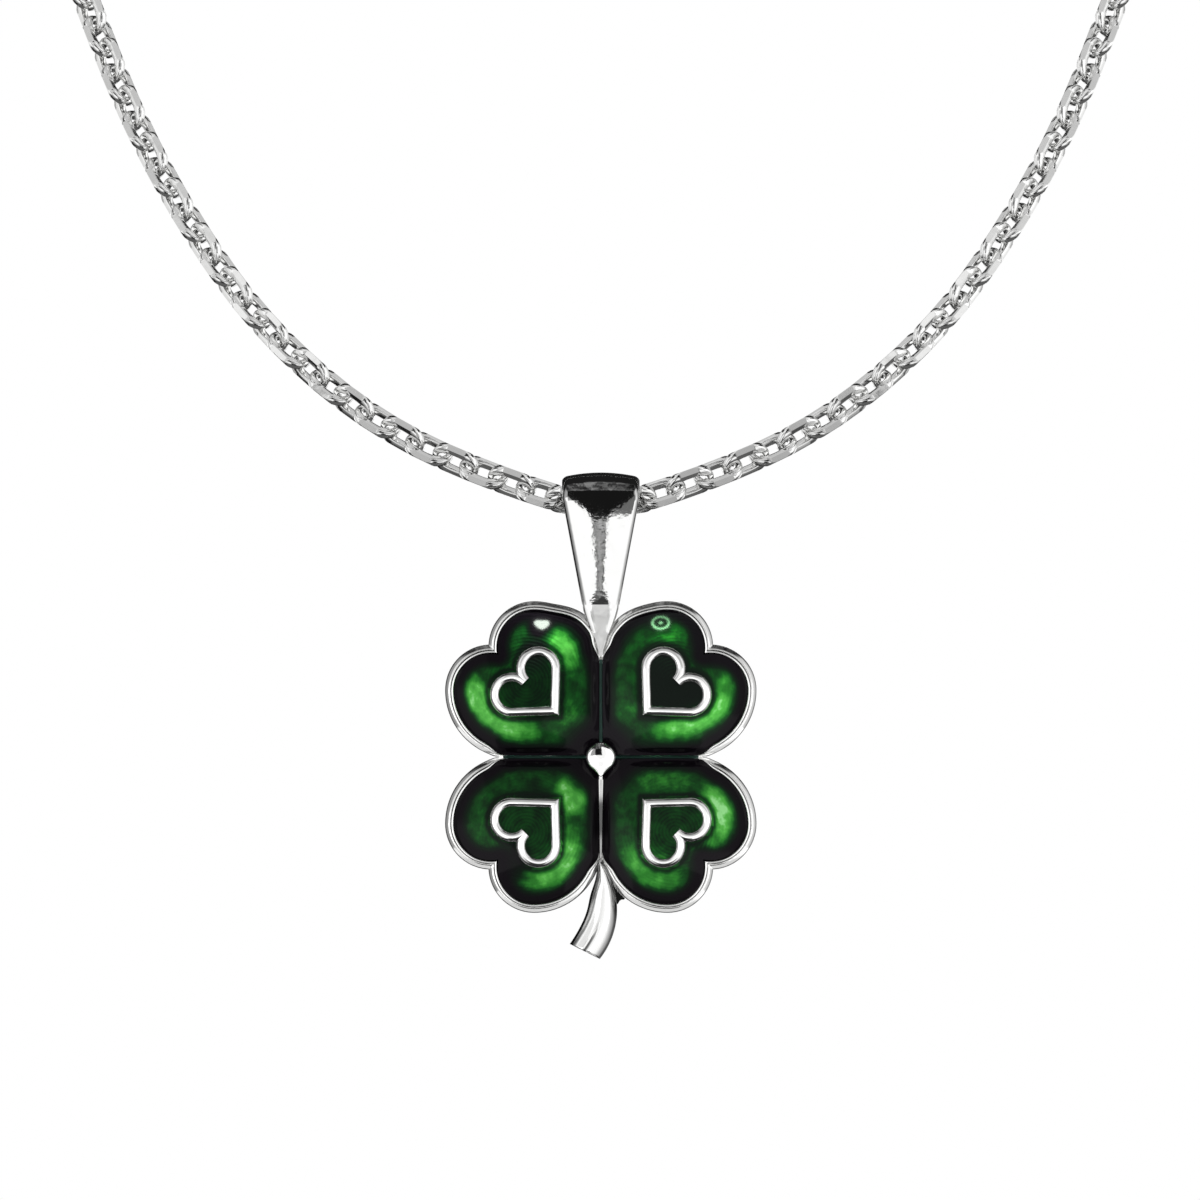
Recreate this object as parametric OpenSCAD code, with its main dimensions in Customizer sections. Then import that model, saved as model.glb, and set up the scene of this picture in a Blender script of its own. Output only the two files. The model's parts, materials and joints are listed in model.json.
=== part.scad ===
// Enamelled four-leaf clover pendant on an 18 inch cable chain.
// The origin is at the nape, in the middle of the clasp. +Z is up and the wearer's front is -Y.

/* [Clover] */
// Distance from the clover's centre to the outermost point of each lobe
lobe_reach = 10.05; // [9.8:0.05:10.4]
// How far that outermost point lies from the axis beside it
lobe_offset = 4.3; // [4.1:0.05:4.5]
// Distance of a leaf's notch from both axes
notch = 7.25; // [7.1:0.05:7.4]
// Distance from the centre at which two leaves' outlines meet
junction = 6.6; // [6.4:0.05:6.8]
// Width of the polished lip round each leaf
lip_w = 0.5; // [0.45:0.05:0.65]
// Step between the outer wall and the lip
lip_step = 0.12; // [0.08:0.01:0.16]
// Width of the ribs between neighbouring leaves
rib_w = 0.44; // [0.36:0.02:0.56]
// Radius of the bead at the centre
bead_r = 0.92; // [0.85:0.01:1]

/* [Enamel] */
// Height of the crown of the enamel dome above the middle plane
dome_top = 1.0; // [0.9:0.05:1.1]
// Radius of the domes of the enamel
dome_r = 16; // [14:0.5:20]
// Thickness of the enamel over the domed floor
enamel_t = 0.45; // [0.35:0.05:0.5]
// Clearance round each fill
fill_gap = 0.04; // [0.03:0.01:0.06]

/* [Heart ornaments] */
// Distance from the clover's centre to the middle of an ornament
heart_at = 6.05; // [5.9:0.05:6.2]
// Radius of each lobe of the heart's outer outline
heart_lobe_r = 1.5; // [1.4:0.05:1.55]
// Distance of each lobe's centre from the heart's middle line
heart_side = 1.2; // [1.1:0.05:1.25]
// Distance of the heart's point from the line between its lobes' centres
heart_point = 3.2; // [3:0.1:3.4]
// Width of the raised line
heart_line_w = 0.72; // [0.64:0.02:0.76]
// Height of the line above the enamel
heart_rise = 0.35; // [0.25:0.05:0.45]

/* [Bail and stem] */
// Width of the bail at its top
bail_w = 5.0; // [4.9:0.05:5.2]
// Radius of the tunnel that the chain runs through
tunnel_r = 1.32; // [1.3:0.01:1.34]
// Outer radius of the bail at the middle of its width
bail_r = 1.9; // [1.9:0.05:2]
// Outer radius of the bail at its side edges
bail_edge_r = 1.6; // [1.56:0.02:1.64]
// Distance from the chain's axis down to the clover's centre
drop = 16.45; // [16.4:0.05:16.8]
// Radius of the stem's outer curve
stem_r = 5.08; // [5:0.02:5.2]

/* [Chain] */
// Distance between the centres of neighbouring links
pitch = 2.0; // [1.98:0.01:2.02]
// Width of a link
link_w = 2.06; // [2:0.01:2.08]
// Thickness of a link, across its flat faces
link_t = 0.42; // [0.4:0.01:0.44]
// Width of a link's wire in its own plane
wire_w = 0.44; // [0.4:0.01:0.45]
// Play between two linked wires
play = 0.4; // [0.4:0.01:0.44]
// Lean of the loop's plane back from the vertical
lean = 35; // [30:1:40]
// Radius of the barrel clasp
clasp_r = 1.5; // [1.3:0.1:1.8]

/* [Hidden] */
$fn = 64;

// Half of the loop as arcs, from the bail round to where the nape's arc begins
LENGTH = 0;
TURN = 1;
ARCS = [
    // [length, turn in degrees]
    [1.0, 0],
    [2.0, 20.5],
    [7.5, 7.5],
    [9.0, 16],
    [12.0, 16],
    [18.0, 12],
    [86.0, 8],
];
links_a_side = 111;
roll = 45;

// End of an arc of length len that starts at p with heading h
function arc_end(p, h, len, turn) = turn == 0
    ? p + len * [cos(h), sin(h)]
    : p + len / (turn * PI / 180) * [sin(h + turn) - sin(h), cos(h) - cos(h + turn)];
// Place and heading at distance s along the half-loop: [x, v, heading]
function walk(s, i = 0, p = [0, 0], h = 0) =
    let (last = i == len(ARCS))
    let (arc = last ? nape_arc(p, h) : ARCS[i])
    last || s <= arc[LENGTH]
        ? let (part = arc[TURN] * s / arc[LENGTH], q = arc_end(p, h, s, part)) [q.x, q.y, h + part]
        : walk(s - arc[LENGTH], i + 1, arc_end(p, h, arc[LENGTH], arc[TURN]), h + arc[TURN]);
// The nape's arc starts at p with heading h and ends on the middle line, heading straight across
function nape_arc(p, h) = [p.x / sin(h) * (180 - h) * PI / 180, 180 - h];
function arcs_length(i = 0) = i == len(ARCS) ? 0 : ARCS[i][LENGTH] + arcs_length(i + 1);

side_length = arcs_length();
side_end = walk(side_length);
nape_r = side_end.x / sin(side_end[2]);
half_loop = side_length + nape_arc([side_end.x, side_end.y], side_end[2])[LENGTH];
loop_height = side_end.y + nape_r * (1 + cos(side_end[2]));

// Clasp: its eyes sit on the loop, so its axis lies a little inside the nape's arc
link_in = pitch + play;
end_link_at = half_loop - links_a_side * pitch;
eye_wire_r = 0.35;
eye_r = 1.05;
eye_clear = 0.2;
rim_at = end_link_at - link_in / 2 + eye_clear + eye_wire_r;
eye_at = rim_at - eye_r;
clasp_half = eye_at - (eye_r - eye_wire_r) - 0.05;
clasp_taper = 0.7;
clasp_end_r = clasp_r * 0.55;
clasp_drop = nape_r * (1 - cos(rim_at / nape_r * 180 / PI));

// From the loop's own plane to the frame of the whole part
function place(p) = let (v = p.y - loop_height + clasp_drop) [p.x, v * sin(lean), v * cos(lean)];
hang_point = place([0, 0]);

function unit(v) = v / norm(v);
function tangent(heading) = [cos(heading), sin(heading) * sin(lean), sin(heading) * cos(lean)];
// Direction of a link's width: turned about the tangent from the line of sight
function width_dir(t, turn) =
    let (a = unit([0, 1, 0] - t.y * t), b = cross(t, a)) cos(turn) * a + sin(turn) * b;

// Clover outline: each lobe is a small arc near the notch and a larger one near the junction
tip_r = (pow(lobe_reach - notch, 2) + pow(notch - lobe_offset, 2)) / (2 * (lobe_reach - notch));
flank_r = (pow(lobe_reach - junction, 2) + pow(lobe_offset, 2)) / (2 * (lobe_reach - junction));
tip_x = lobe_reach - tip_r;
flank_x = lobe_reach - flank_r;
recess_inset = lip_step + lip_w;
recess_sweep = 3.4;
leaf_at = 4.4;

// Channel that lowers the ribs of the upper and side axes
channel_w = rib_w + 0.3;
channel_end = flank_x - 0.9;

// Heights toward the front, from the middle plane of the clover
back_h = -1.0;
step_h = 0.05;
lip_h = 0.65;
rib_h = 0.25;
moat_h = -0.4;
bead_h = 0.35;
bead_point = 0.4;
bead_point_r = 0.08;
over = 1;

// Bail: a folded strip whose two legs close on the neck, seen with the chain's axis at the origin
bail_dome_r = (pow(bail_w / 2, 2) + pow(bail_r - bail_edge_r, 2)) / (2 * (bail_r - bail_edge_r));
leg_slope = 8;
leg_length = 6.9;
leg_end_half_w = 1.15;
full_width_to = 0.3;
hollow_half_w = 1.18;
hollow_end = 5.6;
hollow_end_half_w = 0.6;

// Neck: the solid foot of the bail, which runs down into the plate where the upper leaves meet
neck_start = 6.2;
neck_half_t = 0.88;
neck_end = drop - junction + 0.3;
neck_end_half_w = 0.35;
neck_end_back = 0.7;
neck_end_front = 0.3;

// Stem: the disc of its outer curve less the disc of its inner curve, cut off askew at the foot
stem_at = [-4.03, -9.85];
stem_inner_r = 10;
stem_inner_at = [-10.19, -6.32];
stem_foot = [-2.0, -12.06];
stem_foot_turn = -26.5;
stem_back_h = -0.75;
stem_front_h = 0.5;

module half_plane_below(v, size = 30) {
    translate([-size, v - 2 * size])
        square(2 * size);
}

// One lobe beside the x axis, drawn inwards by d
module lobe(d) {
    translate([tip_x, lobe_offset])
        circle(tip_r - d);
    intersection() {
        translate([flank_x, lobe_offset])
            circle(flank_r - d);
        half_plane_below(lobe_offset);
    }
}

// Where the circles of a leaf's two lobes cross, on the diagonal
function notch_point(d) =
    let (r = tip_r - d) (tip_x + lobe_offset + sqrt(2 * r * r - pow(tip_x - lobe_offset, 2))) / 2;

// Inner part of a leaf, between its two lobes. Its corner stays a little inside their circles.
module leaf_core(d) {
    low = lobe_offset - flank_r + d;
    n = notch_point(d) - 0.05;
    corner = flank_x - recess_sweep * d;
    polygon([[0, 0], [corner, 0], [flank_x, low], [tip_x, lobe_offset], [n, n],
             [lobe_offset, tip_x], [low, flank_x], [0, corner]]);
}

// The leaf in the first quadrant, drawn inwards by d and cut back from both axes by g
module leaf(d, g) {
    intersection() {
        union() {
            lobe(d);
            mirror([1, -1])
                lobe(d);
            leaf_core(d);
        }
        translate([g, g])
            square(20);
    }
}

module clover_outline(d) {
    for (a = [0:90:270])
        rotate(a)
            leaf(d, 0);
}

// Heart with its point toward the clover's centre, drawn inwards by d. Its straight edges end just
// inside the lobes' circles.
module heart(d) {
    half_angle = atan(heart_side / heart_point) + asin(heart_lobe_r / norm([heart_point, heart_side]));
    r = heart_lobe_r - d;
    inside = r * 0.97;
    touch = [-inside * sin(half_angle), heart_side + inside * cos(half_angle)];
    point = d / sin(half_angle) - heart_point;
    rotate(45)
        translate([heart_at + (heart_point - heart_lobe_r) / 2, 0]) {
            for (m = [-1, 1])
                translate([0, m * heart_side])
                    circle(r);
            polygon([[point, 0], [touch.x, -touch.y], [0, -heart_side], [0, heart_side], touch]);
        }
}

module leaf_sphere(r, top) {
    translate([leaf_at, leaf_at, top - r])
        sphere(r, $fn = 96);
}

module slab(low, high) {
    translate([0, 0, low])
        linear_extrude(high - low)
            children();
}

// Space of one leaf's enamel: a walled recess with a domed floor
module recess() {
    difference() {
        slab(moat_h, lip_h + over)
            leaf(recess_inset, rib_w / 2);
        leaf_sphere(dome_r - enamel_t, dome_top - enamel_t);
    }
}

module heart_ornament() {
    intersection() {
        slab(moat_h - 0.1, dome_top + heart_rise + over)
            difference() {
                heart(0);
                heart(heart_line_w);
            }
        leaf_sphere(dome_r + heart_rise, dome_top + heart_rise);
    }
}

module enamel_fill() {
    difference() {
        intersection() {
            slab(moat_h + fill_gap, dome_top + over)
                leaf(recess_inset + fill_gap, rib_w / 2 + fill_gap);
            leaf_sphere(dome_r, dome_top);
        }
        leaf_sphere(dome_r - enamel_t + fill_gap, dome_top - enamel_t + fill_gap);
        slab(moat_h - over, dome_top + 2 * over)
            difference() {
                heart(-fill_gap);
                heart(heart_line_w + fill_gap);
            }
    }
}

module clover_plate() {
    difference() {
        union() {
            slab(back_h, step_h)
                clover_outline(0);
            slab(step_h, lip_h)
                clover_outline(lip_step);
        }
        for (a = [0:90:270])
            rotate(a)
                recess();
        for (a = [0:90:180])
            rotate(a)
                translate([0, -channel_w / 2, rib_h])
                    cube([channel_end, channel_w, over]);
    }
}

// Bead with a short point below it, drawn outwards by g
module centre_bead(g) {
    from = bead_r * 0.6;
    translate([0, 0, bead_h]) {
        sphere(bead_r + g);
        rotate([90, 0, 0])
            translate([0, 0, from])
                cylinder(r1 = bead_r * 0.8 + g, r2 = bead_point_r + g,
                         h = bead_r + bead_point - from + g);
    }
}

module stem() {
    slab(stem_back_h, stem_front_h)
        difference() {
            translate(stem_at)
                circle(stem_r);
            translate(stem_inner_at)
                circle(stem_inner_r);
            translate(stem_foot)
                rotate(stem_foot_turn)
                    half_plane_below(0);
            translate([0, -junction])
                mirror([0, 1])
                    half_plane_below(0);
        }
}

// Outline of half of the bail's cross-section, from its middle plane out to the domed face
module bail_section() {
    intersection() {
        translate([bail_r - bail_dome_r, 0])
            circle(bail_dome_r, $fn = 180);
        translate([0, -bail_w / 2])
            square([bail_r + over, bail_w]);
    }
}

// Bail seen from the side, with z up and its tunnel's axis at the origin
module bail_envelope() {
    rotate([90, 0, 90])
        rotate([0, 0, -leg_slope])
            rotate_extrude(angle = 180 + 2 * leg_slope, $fn = 96)
                bail_section();
    for (side = [-1, 1])
        scale([1, side, 1])
            rotate([-leg_slope, 0, 0])
                translate([0, 0, -leg_length - 0.5])
                    linear_extrude(leg_length + 0.5)
                        rotate(90)
                            bail_section();
}

module bail_front() {
    top = bail_r + over;
    top_half_w = bail_w / 2 + 0.01;
    right = [[neck_end_half_w, -neck_end], [leg_end_half_w, -leg_length],
             [top_half_w, full_width_to], [top_half_w, top]];
    left = [for (i = [3:-1:0]) [-right[i].x, right[i].y]];
    rotate([90, 0, 0])
        linear_extrude(10, center = true)
            polygon(concat(right, left));
}

module bail_hollow() {
    rotate([90, 0, 90])
        linear_extrude(10, center = true) {
            circle(tunnel_r);
            polygon([[-hollow_end_half_w, -hollow_end], [hollow_end_half_w, -hollow_end],
                     [hollow_half_w, 0], [-hollow_half_w, 0]]);
        }
}

module neck() {
    rotate([90, 0, 90])
        linear_extrude(10, center = true)
            polygon([[-neck_half_t, -leg_length], [-neck_end_front, -neck_end],
                     [neck_end_back, -neck_end], [neck_half_t, -leg_length],
                     [neck_half_t, -neck_start], [-neck_half_t, -neck_start]]);
}

module bail() {
    difference() {
        intersection() {
            union() {
                intersection() {
                    bail_envelope();
                    translate([-5, -5, -leg_length])
                        cube([10, 10, 10]);
                }
                neck();
            }
            bail_front();
        }
        bail_hollow();
    }
}

// Stands the clover up: its plane's y becomes z and its heights face the front
module hang() {
    translate(hang_point)
        children();
}

module stand_clover() {
    hang()
        translate([0, 0, -drop])
            rotate([90, 0, 0])
                children();
}

module clover_frame() {
    color("silver") {
        stand_clover() {
            clover_plate();
            for (a = [0:90:270])
                rotate(a)
                    heart_ornament();
            centre_bead(0);
            stem();
        }
        hang()
            bail();
    }
}

module enamel(quarter) {
    color("forestgreen")
        stand_clover()
            difference() {
                rotate(90 * quarter)
                    enamel_fill();
                centre_bead(fill_gap);
            }
}

// A flat-sided oval link in its own frame: x along the chain, y across its width
module link() {
    module oval(r) {
        half = (link_in + 2 * wire_w - link_w) / 2;
        for (side = [-1, 1])
            translate([side * half, 0])
                circle(r, $fn = 32);
        square([2 * half, 2 * r], center = true);
    }
    linear_extrude(link_t, center = true)
        difference() {
            oval(link_w / 2);
            oval(link_w / 2 - wire_w);
        }
}

module link_at(i) {
    p = walk(i * pitch);
    t = tangent(p[2]);
    w = width_dir(t, i % 2 == 0 ? roll : -roll);
    n = cross(t, w);
    c = place(p);
    multmatrix([[t.x, w.x, n.x, c.x], [t.y, w.y, n.y, c.y], [t.z, w.z, n.z, c.z]])
        link();
}

module chain() {
    color("silver") {
        link_at(0);
        for (side = [0, 1])
            mirror([side, 0, 0])
                for (i = [1:links_a_side])
                    link_at(i);
    }
}

// Barrel clasp along x, with an eye at each end that the last link passes through
module clasp() {
    w = width_dir([-1, 0, 0], links_a_side % 2 == 0 ? roll : -roll);
    shoulder = clasp_half - clasp_taper;
    color("silver")
        rotate([atan2(-w.y, w.z), 0, 0]) {
            rotate([0, 90, 0])
                rotate_extrude()
                    polygon([[0, -clasp_half], [clasp_end_r, -clasp_half], [clasp_r, -shoulder],
                             [clasp_r, shoulder], [clasp_end_r, clasp_half], [0, clasp_half]]);
            for (side = [-1, 1])
                translate([side * eye_at, 0, 0])
                    rotate_extrude()
                        translate([eye_r, 0])
                            circle(eye_wire_r, $fn = 32);
        }
}

clover_frame();
enamel(1);  // enamel_upper_left
enamel(0);  // enamel_upper_right
enamel(2);  // enamel_lower_left
enamel(3);  // enamel_lower_right
chain();
clasp();
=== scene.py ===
"""Looks for the clover pendant: bright cast silver, domed green enamel and a cut cable chain."""

import json
from math import asin, atan, atan2, copysign, cos, degrees, exp, hypot, pi, radians, sin, sqrt, tan

import bmesh
import bpy
import numpy as np
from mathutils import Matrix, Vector, kdtree


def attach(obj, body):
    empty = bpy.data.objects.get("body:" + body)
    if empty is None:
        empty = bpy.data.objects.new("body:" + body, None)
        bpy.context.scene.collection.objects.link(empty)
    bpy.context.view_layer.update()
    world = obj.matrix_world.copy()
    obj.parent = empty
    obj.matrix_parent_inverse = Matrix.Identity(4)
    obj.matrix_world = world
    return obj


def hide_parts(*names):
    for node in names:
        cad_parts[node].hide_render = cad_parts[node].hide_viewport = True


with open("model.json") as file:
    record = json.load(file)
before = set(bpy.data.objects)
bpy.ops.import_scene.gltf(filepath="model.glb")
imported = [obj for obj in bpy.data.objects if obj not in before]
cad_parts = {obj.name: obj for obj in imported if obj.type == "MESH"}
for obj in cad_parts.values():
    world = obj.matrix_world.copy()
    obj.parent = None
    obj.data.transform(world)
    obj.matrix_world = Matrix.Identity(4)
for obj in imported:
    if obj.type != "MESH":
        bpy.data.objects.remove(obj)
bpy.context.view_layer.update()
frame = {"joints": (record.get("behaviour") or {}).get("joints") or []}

MM = 0.001
HANG = np.array(frame["joints"][0]["pos_m"]) / MM

# Clover outline, in mm in the clover's own plane: x to the right, y up, heights toward the front
LOBE_REACH = 10.05
LOBE_OFFSET = 4.3
NOTCH = 7.25
JUNCTION = 6.6
LIP_STEP = 0.12
LIP_W = 0.5
INSET = LIP_STEP + LIP_W
BEAD_R = 0.92
LEAF_AT = 4.4
DROP = 16.45
TIP_R = ((LOBE_REACH - NOTCH) ** 2 + (NOTCH - LOBE_OFFSET) ** 2) / (2 * (LOBE_REACH - NOTCH))
FLANK_R = ((LOBE_REACH - JUNCTION) ** 2 + LOBE_OFFSET ** 2) / (2 * (LOBE_REACH - JUNCTION))
TIP_X = LOBE_REACH - TIP_R
FLANK_X = LOBE_REACH - FLANK_R
RECESS_SWEEP = 3.4

# Heights from the clover's middle plane toward the front
BACK_H = -1.0
RIB_H = 0.25
FLOOR_H = -0.4
BEAD_H = 0.35
DOME_TOP = 1.0
DOME_R = 16.0

# Heart ornaments
HEART_AT = 6.05
HEART_LOBE_R = 1.5
HEART_SIDE = 1.2
HEART_POINT = 3.2
HEART_LINE_W = 0.72
HEART_RISE = 0.35

# Bail, neck and stem
BAIL_W = 5.0
TUNNEL_R = 1.32
BAIL_R = 1.9
BAIL_EDGE_R = 1.6
BAIL_DOME_R = ((BAIL_W / 2) ** 2 + (BAIL_R - BAIL_EDGE_R) ** 2) / (2 * (BAIL_R - BAIL_EDGE_R))
LEG_SLOPE = 8.0
LEG_LENGTH = 6.9
LEG_END_HALF_W = 1.15
FULL_WIDTH_TO = 0.3

# Chain
PITCH = 2.0
PLAY = 0.4
LEAN = 35.0
LINKS_A_SIDE = 111
ROLL = 45.0
CLASP_R = 1.5
EYE_WIRE_R = 0.35
EYE_R = 1.05
EYE_CLEAR = 0.2
ARCS = [
    # [length, turn in degrees]
    [1.0, 0],
    [2.0, 20.5],
    [7.5, 7.5],
    [9.0, 16],
    [12.0, 16],
    [18.0, 12],
    [86.0, 8],
]


def cosd(a):
    return cos(radians(a))


def sind(a):
    return sin(radians(a))


def smoothstep(low, high, v):
    t = np.clip((np.asarray(v, float) - low) / (high - low), 0, 1)
    return t * t * (3 - 2 * t)


def add_object(name, data):
    made = bpy.data.objects.new(name, data)
    bpy.context.scene.collection.objects.link(made)
    return made


# Camera

IMAGE_PX = 1200
MM_PER_PX = 0.0645
CAMERA_BACK = 3.0
CLOVER_PX = (600.8, 757.0)
clover_z = HANG[2] - DROP
view_x = (IMAGE_PX / 2 - CLOVER_PX[0]) * MM_PER_PX
view_z = clover_z + (CLOVER_PX[1] - IMAGE_PX / 2) * MM_PER_PX
half_view = IMAGE_PX / 2 * MM_PER_PX * MM

camera_data = bpy.data.cameras.new("camera")
camera_data.sensor_width = 36
camera_data.lens = camera_data.sensor_width / 2 * CAMERA_BACK / half_view
camera_data.clip_end = 100
camera = add_object("camera", camera_data)
camera.location = (view_x * MM, HANG[1] * MM - CAMERA_BACK, view_z * MM)
camera.rotation_euler = (radians(90), 0, 0)
bpy.context.scene.camera = camera


# Mesh helpers

MERGE_M = 1e-7


def point_tree(points):
    tree = kdtree.KDTree(len(points))
    for i, p in enumerate(points):
        tree.insert(p, i)
    tree.balance()
    return tree


def set_point_values(piece, points, **values):
    """Named attributes of a piece, given at the points in mm that it was made from."""
    tree = point_tree(np.asarray(points) * MM)
    order = [tree.find(v.co)[1] for v in piece.data.vertices]
    for name, value in values.items():
        attribute = piece.data.attributes.new(name, "FLOAT", "POINT")
        attribute.data.foreach_set("value", np.broadcast_to(value, len(points))[order])


def make_piece(name, verts, faces, body, slot, replaced, material, smooth_angle, **values):
    """A mesh object in the row frame from points in mm, riding on its body."""
    mesh = bpy.data.meshes.new(name)
    mesh.from_pydata((np.asarray(verts) * MM).tolist(), [], [list(map(int, f)) for f in faces])
    bm = bmesh.new()
    bm.from_mesh(mesh)
    bmesh.ops.remove_doubles(bm, verts=bm.verts, dist=MERGE_M)
    bmesh.ops.recalc_face_normals(bm, faces=bm.faces)
    bm.to_mesh(mesh)
    bm.free()
    mesh.polygons.foreach_set("use_smooth", [True] * len(mesh.polygons))
    if smooth_angle < 180:
        mesh.set_sharp_from_angle(angle=radians(smooth_angle))
    mesh.materials.append(material)
    piece = add_object(name, mesh)
    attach(piece, body)
    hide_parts(*replaced)
    if values:
        set_point_values(piece, verts, **values)
    return piece


def ring_faces(rings, points, closed_rings=False):
    """Quads between rings of the same number of points."""
    faces = []
    for r in range(rings if closed_rings else rings - 1):
        a, b = r * points, (r + 1) % rings * points
        for i in range(points):
            j = (i + 1) % points
            faces.append((a + i, a + j, b + j, b + i))
    return faces


def lofted(sections):
    """Vertices and faces of a closed loft through sections of equal point counts."""
    sections = [np.asarray(s, float) for s in sections]
    around = len(sections[0])
    verts = np.vstack(sections)
    faces = ring_faces(len(sections), around)
    for s, flip in ((0, True), (len(sections) - 1, False)):
        centre = len(verts)
        verts = np.vstack([verts, sections[s].mean(0)])
        for i in range(around):
            tri = (s * around + i, s * around + (i + 1) % around, centre)
            faces.append(tri[::-1] if flip else tri)
    return verts, faces


def line_points(a, b, steps):
    """Even steps from a toward b, without b."""
    return [a + (b - a) * t for t in np.linspace(0, 1, steps, endpoint=False)]


def arc_points(centre, r, angles):
    return [np.array([centre[0] + r * cos(a), centre[1] + r * sin(a)]) for a in angles]


def full_turn(steps):
    return np.linspace(0, 2 * pi, steps, endpoint=False)


def at_height(xy, h):
    return np.column_stack([xy, np.full(len(xy), h)])


def mirrored(half):
    """A closed section from the half of it that starts and ends on the middle line."""
    return half + [[-a, h] for a, h in half[-2:0:-1]]


def shrunk(ring, *fractions):
    return [ring * [f, f, 1] for f in fractions]


def stand(points):
    """Clover plane (x, y, height) to the row frame."""
    p = np.asarray(points, float)
    return np.stack([p[..., 0], HANG[1] - p[..., 2], clover_z + p[..., 1]], -1)


def hang(points):
    """Bail frame (x, y back, z up from the chain's axis) to the row frame."""
    return np.asarray(points, float) + HANG


def frame_piece(name, sections, material, smooth_angle, place=stand, **values):
    """A lofted piece of the pendant's one silver frame."""
    verts, faces = lofted(sections)
    return make_piece(name, place(verts), faces, "pendant", "silver", ["clover_frame"], material,
                      smooth_angle, **values)


# Clover outline

FLANK_STEPS = 30
TIP_STEPS = 34
LEAD_STEPS = 10


def half_leaf(d):
    """Points of one leaf's outline inset by d, from the x axis round to the notch on the diagonal."""
    r = FLANK_R - d
    if LOBE_OFFSET <= r:
        start = np.array([FLANK_X + sqrt(r * r - LOBE_OFFSET ** 2), 0])
        from_angle = atan2(-LOBE_OFFSET, start[0] - FLANK_X)
    else:
        start = np.array([FLANK_X - RECESS_SWEEP * d, 0])
        from_angle = -pi / 2
    flank_at = (FLANK_X, LOBE_OFFSET)
    lead = line_points(start, arc_points(flank_at, r, [from_angle])[0], LEAD_STEPS)
    flank = arc_points(flank_at, r, np.linspace(from_angle, 0, FLANK_STEPS, endpoint=False))
    tip_r = TIP_R - d
    notch = (TIP_X + LOBE_OFFSET + sqrt(2 * tip_r * tip_r - (TIP_X - LOBE_OFFSET) ** 2)) / 2
    to_angle = atan2(notch - LOBE_OFFSET, notch - TIP_X)
    tip = arc_points((TIP_X, LOBE_OFFSET), tip_r, np.linspace(0, to_angle, TIP_STEPS))
    return np.array(lead + flank + tip)


def whole_leaf(half):
    """A leaf's outline in the first quadrant from its half below the diagonal."""
    return np.vstack([half, half[-2:0:-1, ::-1]])


def quarter_turns(points, k):
    x, y = points[..., 0], points[..., 1]
    for _ in range(k):
        x, y = -y, x
    return np.stack([x, y], -1)


def clover_ring(d):
    """All four leaves' outline, anticlockwise and closed."""
    leaf = whole_leaf(half_leaf(d))
    return np.vstack([quarter_turns(leaf, k) for k in range(4)])


# Materials

class Nodes:
    """Short names for the nodes that a tree is built from."""

    def __init__(self, tree):
        self.tree = tree
        tree.nodes.clear()

    def fill(self, node, inputs):
        """Sets each input, by name or number, to a value or links it to another node's output."""
        for key, value in inputs.items():
            if isinstance(value, bpy.types.NodeSocket):
                self.tree.links.new(value, node.inputs[key])
            else:
                node.inputs[key].default_value = value

    def add(self, kind, inputs=None, **values):
        node = self.tree.nodes.new("ShaderNode" + kind)
        for key, value in values.items():
            setattr(node, key, value)
        self.fill(node, inputs or {})
        return node

    def math(self, operation, a, b=None, c=None, clamp=False):
        inputs = {i: v for i, v in enumerate((a, b, c)) if v is not None}
        return self.add("Math", inputs, operation=operation, use_clamp=clamp).outputs[0]

    def times(self, a, b):
        return self.math("MULTIPLY", a, b)

    def ramp(self, value, low, high, to_low=0.0, to_high=1.0, kind="SMOOTHSTEP"):
        """Takes value from between low and high to between to_low and to_high."""
        limits = {"From Min": low, "From Max": high, "To Min": to_low, "To Max": to_high}
        node = self.add("MapRange", {"Value": value, **limits}, interpolation_type=kind)
        return node.outputs["Result"]

    def mix(self, factor, a, b):
        node = self.add("Mix", {"Factor": factor, "A": a, "B": b}, data_type="FLOAT")
        return node.outputs["Result"]

    def noise(self, scale, detail=3.0, stretch=(1, 1, 1), space="Object"):
        at = self.add("TexCoord").outputs[space]
        vector = self.add("Mapping", {"Vector": at, "Scale": stretch}).outputs["Vector"]
        node = self.add("TexNoise", {"Vector": vector, "Scale": scale, "Detail": detail})
        return node.outputs["Fac"]

    def attribute(self, name):
        return self.add("Attribute", attribute_name=name).outputs["Fac"]

    def bump(self, height, strength, distance, **base):
        """Relief of the height, over that of another bump if it is given as Normal."""
        inputs = {"Height": height, "Strength": strength, "Distance": distance, **base}
        return self.add("Bump", inputs).outputs[0]

    def colours(self, value, stops):
        """A colour ramp through stops of position and colour."""
        node = self.add("ValToRGB", {0: value})
        elements = node.color_ramp.elements
        for e, (at, rgb) in zip(elements, (stops[0], stops[-1])):
            e.position, e.color = at, (*rgb, 1)
        for at, rgb in stops[1:-1]:
            elements.new(at).color = (*rgb, 1)
        return node.outputs[0]


def new_material(name):
    material = bpy.data.materials.new(name)
    material.use_nodes = True
    n = Nodes(material.node_tree)
    shader = n.add("BsdfPrincipled")
    n.output = n.add("OutputMaterial", {0: shader.outputs[0]})
    return material, n, shader


# Scales of noise are per metre, and distances are in metres
SILVER_TONES = [(0.0, (0.90, 0.90, 0.89)), (1.0, (0.97, 0.97, 0.965))]
# Dark colour for tarnish and for painted shade
TARNISH_AND_SHADE_COLOUR = (0.05, 0.05, 0.05, 1)
WAVE_DEPTH = 0.0002
SCRATCH_DEPTH = 0.00002
SCRATCH_STRETCH = (1, 6, 0.25)


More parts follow.
